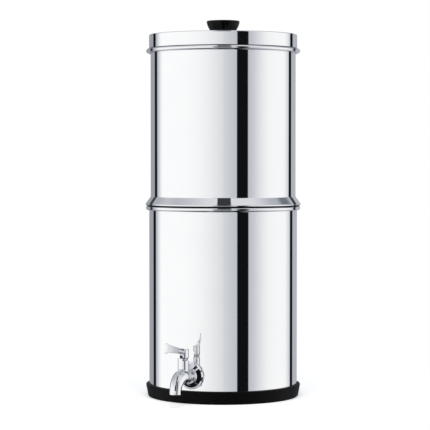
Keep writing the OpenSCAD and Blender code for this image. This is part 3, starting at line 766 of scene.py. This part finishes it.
def pressed_carbon():
    """Pressed carbon: matt near-black with pale specks and a coarse grain."""
    carbon = Finish("pressed_carbon", Specular_IOR_Level=0.25)
    patches = carbon.clouds(20 * MM, detail=4)
    grain = carbon.clouds(1.6 * MM, detail=6)
    carbon.feed({
        "Base Color": carbon.blend(grain * patches, (0.018, 0.018, 0.02), (0.075, 0.075, 0.08)),
        "Roughness": 0.75 + 0.2 * grain,
        "Normal": carbon.relief(grain, 0.25 * MM),
    })
    return carbon


def moulded_cap():
    """Moulded black plastic: satin, with a faint flow pattern."""
    plastic = Finish("cap_plastic", Specular_IOR_Level=0.5)
    flow = plastic.clouds(15 * MM, (1, 1, 0.3), detail=3)
    plastic.feed({
        "Base Color": plastic.blend(flow, (0.014, 0.014, 0.015), (0.024, 0.024, 0.026)),
        "Roughness": 0.3 + 0.15 * flow,
        "Normal": plastic.relief(plastic.clouds(0.8 * MM, detail=2), 0.012 * MM),
    })
    return plastic


carbon = pressed_carbon()
cap_plastic = moulded_cap()
for side in ("left", "right"):
    dress(carbon, "carbon_block_" + side)
    dress(cap_plastic, "top_cap_" + side, "base_cap_" + side)
    dress(seal, "stem_washer_" + side)
    dress(white, "wing_nut_" + side)


# ---- Lid ----
# A pressed and polished lid: a flat top, a deep skirt that stands on the upper rim, and a ring
# inside the mouth that keeps it in place. The skirt has the marks of a circular brush.

lid_low, lid_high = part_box("lid")
LID_CORNER = 1.3 * MM
LID_FOOT = 1 * MM
LID_SEAT = 0.7 * MM
LID_HOOPS = 0.03
LOCATING_GAP = 0.6 * MM
lid_middle = lid_high.x - HALF
locating_middle = upper_r - SHEET - LOCATING_GAP - HALF
lid = turned("lid_steel", held(rounded([
    (0, lid_high.z - HALF, 0), (lid_middle, lid_high.z - HALF, LID_CORNER - HALF),
    (lid_middle, upper_high.z + HALF, LID_FOOT - HALF),
    (locating_middle, upper_high.z + HALF, LID_FOOT - HALF), (locating_middle, lid_low.z, 0)])))
thicken(lid)
# Painted shade darkens the skirt's foot, where it stands on the upper rim.
lid_shaded_seat = (upper_high.z - SHEET, upper_high.z + LID_SEAT)
settle(lid, "lid", polished_steel("lid_polish", [lid_shaded_seat], [], LID_HOOPS), "lid")


# ---- Knob ----
# A glossy black knob turned like a mushroom: a narrow foot, a curved side and a rounded rim. A
# screw from under the lid holds it, over a rubber washer.

def glossy_knob():
    """Polished black plastic under a clear gloss, with a few hairline scuffs."""
    gloss = Finish("glossy_knob", Specular_IOR_Level=0.12)
    scuffs = gloss.clouds(3 * MM, (1, 0.15, 1), detail=6)
    gloss.feed({
        "Base Color": gloss.blend(scuffs, (0.0012, 0.0012, 0.0013), (0.003, 0.003, 0.0032)),
        "Roughness": 0.06 + 0.12 * scuffs,
        "Normal": gloss.relief(scuffs, 0.004 * MM),
    })
    return gloss


knob_low, knob_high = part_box("lid_knob")
KNOB_FOOT_R = 12.5 * MM
KNOB_SIDE_R = 30 * MM
KNOB_EDGE = 2 * MM
KNOB_CROWN = 0.3 * MM
FOOT_EDGE = 0.6 * MM
knob_rim = Vector((knob_high.x, knob_high.z - KNOB_EDGE - KNOB_CROWN))
knob_foot = Vector((KNOB_FOOT_R, knob_low.z))
half_run = (knob_rim - knob_foot) / 2
outwards = Vector((-half_run.y, half_run.x)).normalized()
knob_middle = knob_foot + half_run + outwards * sqrt(KNOB_SIDE_R ** 2 - half_run.length ** 2)
side_from = degrees(atan2(*(knob_foot - knob_middle).yx))
side_to = degrees(atan2(*(knob_rim - knob_middle).yx))
lid_knob = turned("lid_knob_black", held(
    [(0, knob_low.z), (KNOB_FOOT_R - FOOT_EDGE, knob_low.z)]
    + arc(knob_middle, KNOB_SIDE_R, side_from, side_to, 14)
    + arc((knob_high.x - KNOB_EDGE, knob_rim.y), KNOB_EDGE, 0, 90, 10)
    + [(knob_high.x * share, knob_high.z - KNOB_CROWN * share ** 2)
       for share in (0.75, 0.55, 0.35, 0.15)] + [(0, knob_high.z)]))
settle(lid_knob, "lid", glossy_knob(), "lid_knob")
dress(plating, "knob_screw")
dress(seal, "knob_washer")


# ---- Studio ----
# A pale floor in a round white tent, and a camera to the right of the tap. The tent has a dark gap
# behind the camera's right, a dark bar in front, over and under the camera's level, and a dark card
# at each side behind the filter.

CAMERA_AROUND = 24.6
CAMERA_AWAY = 2.724
CAMERA_HIGH = 0.356
CAMERA_DOWN = 1.916
CAMERA_LEFT = 0.25
SENSOR_MM = 36
FOCAL_PX = 1859
PHOTO_PX = 430

scene = bpy.context.scene
scene.view_settings.view_transform = "Standard"
scene.view_settings.look = "None"
around = radians(CAMERA_AROUND)
camera_data = bpy.data.cameras.new("camera")
camera_data.sensor_width = SENSOR_MM
camera_data.lens = SENSOR_MM * FOCAL_PX / PHOTO_PX
camera_data.clip_end = 50
camera = bpy.data.objects.new("camera", camera_data)
camera.location = (CAMERA_AWAY * sin(around), -CAMERA_AWAY * cos(around), CAMERA_HIGH)
camera.rotation_euler = (radians(90 - CAMERA_DOWN), 0, around + radians(CAMERA_LEFT))
scene.collection.objects.link(camera)
scene.camera = camera


class Sky(Finish):
    """The tent's light, worked out from the direction that it is seen in."""

    def __init__(self, tent):
        self.tree = tent.node_tree
        self.shader = self.tree.nodes["Background"]

    def along(self, direction):
        """How far the direction that is seen points along another one, from -1 to 1."""
        return self.vectors("DOT_PRODUCT", self.node("ShaderNodeTexCoord", output="Generated"),
                            direction, output="Value")


world = bpy.data.worlds.new("tent")
world.use_nodes = True
scene.world = world
sky = Sky(world)

# Bearings, from the camera's side to the right, and heights are in degrees. Two values that stand
# together are an edge and its softness, and three are two edges and their softness.
right = sky.along((cos(around), sin(around), 0))
front = sky.along((sin(around), -cos(around), 0))
up = sky.along((0, 0, 1))
bearing = sky.maths("ARCTAN2", right, front) * degrees(1)
height = sky.maths("ARCSINE", up) * degrees(1)
off = sky.maths("ABSOLUTE", bearing)
steep = sky.maths("ABSOLUTE", height)
on_right = sky.step_up(bearing, 0, 1)

TENT = 1.07
TENT_RIGHT_LESS = 0.04
DIP_AT = 36
DIP_DEPTH = 0.46
DIP_LEFT = 52
DIP_RIGHT = 26
BEHIND_LESS = 0.6
BEHIND_RIGHT_MORE = 0.18
BEHIND_FROM = (121, 24)
width = DIP_LEFT - (DIP_LEFT - DIP_RIGHT) * sky.step_up(bearing, DIP_AT, 1)
dip = DIP_DEPTH * sky.maths("EXPONENT", 0 - ((bearing - DIP_AT) / width) ** 2)
tent = TENT - TENT_RIGHT_LESS * on_right - dip
tent = tent * (1 - (BEHIND_LESS - BEHIND_RIGHT_MORE * on_right) * sky.step_up(off, *BEHIND_FROM))

GAP = (21.5, 39.5, 1.5)
GAP_HEIGHT = (-70, 46, 4)
gap = sky.between(bearing, *GAP) * sky.between(height, *GAP_HEIGHT)

CARD = (129, 139, 1.5)
CARD_LEAN = 1.7
CARD_LEAN_FROM = 8
CARD_RIGHT_BACK = 1.5
CARD_WIDER = 0.45
CARD_WIDER_FROM = (14, 12)
BACK_LEFT = 0.38
BACK_RIGHT = 0.5
lean = CARD_LEAN * sky.maths("MAXIMUM", steep - CARD_LEAN_FROM, 0)
wider = CARD_WIDER * sky.step_up(steep, *CARD_WIDER_FROM)
beside = (off - lean + CARD_RIGHT_BACK * on_right - CARD[1]) * (1 - wider) + CARD[1]
card = sky.between(beside, *CARD)
behind = sky.step_up(beside, CARD[1], 1)
back = BACK_LEFT + (BACK_RIGHT - BACK_LEFT) * on_right
band = (tent * (1 - behind) + back * behind) * (1 - gap) * (1 - card)

# The bar is placed by the slant of a surface that shows it to the camera: tilt is how far the
# surface faces up, and across how far it faces right. Upright walls show it only from higher up.
BAR = (-0.09, 0.09, 0.01)
BAR_OVER = (0.055, 0.9, 0.02)
BAR_UNDER = (-0.4, -0.085, 0.02)
BAR_RIGHT = 0.013
LEVEL_TILT = (0.3, 0.1)
LEVEL_LEFT = 0.02
LEVEL_WIDER = 0.25
ahead = sky.maths("MAXIMUM", 1 + front, 0.01)
tilt = up / ahead
on_level = 1 - sky.step_up(sky.maths("ABSOLUTE", tilt), *LEVEL_TILT)
across = (right / ahead - BAR_RIGHT + LEVEL_LEFT * on_level) * (1 - LEVEL_WIDER * on_level)
bar = sky.between(across, *BAR) * (sky.between(tilt, *BAR_OVER) + sky.between(tilt, *BAR_UNDER))

CEILING = 0.77
CEILING_LEFT_LESS = 0.22
CEILING_LEFT = (70, 80)
CEILING_RIGHT_LESS = 0.38
CEILING_RIGHT = (98, 60)
PATCH = (119, 138, 12)
PATCH_HEIGHT = (20, 42, 12)
GROUND = 0.5
GROUND_END = (58, 30)
BAND_END = (30, 36)
depth = 0 - height
ceiling = (CEILING - CEILING_LEFT_LESS * sky.step_up(0 - bearing, *CEILING_LEFT)
           - CEILING_RIGHT_LESS * sky.step_up(bearing, *CEILING_RIGHT))
patch = sky.between(bearing, *PATCH) * sky.between(height, *PATCH_HEIGHT)
ground = GROUND * (1 - sky.step_up(depth, *GROUND_END))
above = sky.step_up(height, *BAND_END)
below = sky.step_up(depth, *BAND_END)

DARKEST = 0.0065
BAR_DARK = 0.95
PATCH_DARK = 0.6
COOL = (0.86, 0.95, 1.1)
light = band * (1 - above) * (1 - below) + (ceiling * above + ground * below) * (1 - gap)
light = light * (1 - BAR_DARK * bar) * (1 - PATCH_DARK * patch) + DARKEST
sky.feed({"Color": sky.blend(light, COOL, (1, 1, 1)), "Strength": light})

FLOOR_R = 5.5
FLOOR_FADE = (0.15, 0.5)
bpy.ops.object.select_all(action="DESELECT")
bpy.ops.mesh.primitive_circle_add(vertices=128, radius=FLOOR_R, fill_type="NGON")
floor = bpy.context.object
floor.name = "floor"
pale = Finish("pale_floor", Roughness=0.9, Specular_IOR_Level=0.0, Emission_Strength=1.0)
spot = pale.vectors("LENGTH", pale.place(), output="Value")
far = pale.node("ShaderNodeMapRange", {"interpolation_type": "SMOOTHSTEP"},
                {"Value": spot, "From Min": FLOOR_FADE[0], "From Max": FLOOR_FADE[1]})
pale.feed({"Base Color": pale.blend(far, (0.9, 0.9, 0.9), (0, 0, 0)),
           "Emission Color": pale.blend(far, (0.4, 0.4, 0.4), (1, 1, 1))})
floor.data.materials.append(pale.material)
floor.visible_glossy = False

bpy.ops.object.select_all(action="DESELECT")
bpy.ops.mesh.primitive_uv_sphere_add(segments=64, ring_count=32, radius=FLOOR_R)
backdrop = bpy.context.object
backdrop.name = "backdrop"
paper = Finish("white_paper", Base_Color=(0, 0, 0, 1), Specular_IOR_Level=0.0,
               Emission_Color=(1, 1, 1, 1), Emission_Strength=1.0)
backdrop.data.materials.append(paper.material)
backdrop.visible_glossy = False
backdrop.visible_diffuse = False
backdrop.visible_shadow = False

LAMP_AT = (0.5, -0.9, 1.9)
LAMP_AWAY = (0.5, -0.9, 1.6)
LAMP_SIZE = 1.6
LAMP_WATTS = 18
lamp_data = bpy.data.lights.new("overhead", "AREA")
lamp_data.shape = "DISK"
lamp_data.size = LAMP_SIZE
lamp_data.energy = LAMP_WATTS
lamp = bpy.data.objects.new("overhead", lamp_data)
lamp.location = LAMP_AT
lamp.rotation_euler = Vector(LAMP_AWAY).to_track_quat("Z", "Y").to_euler()
lamp.visible_glossy = False
lamp.visible_camera = False
scene.collection.objects.link(lamp)
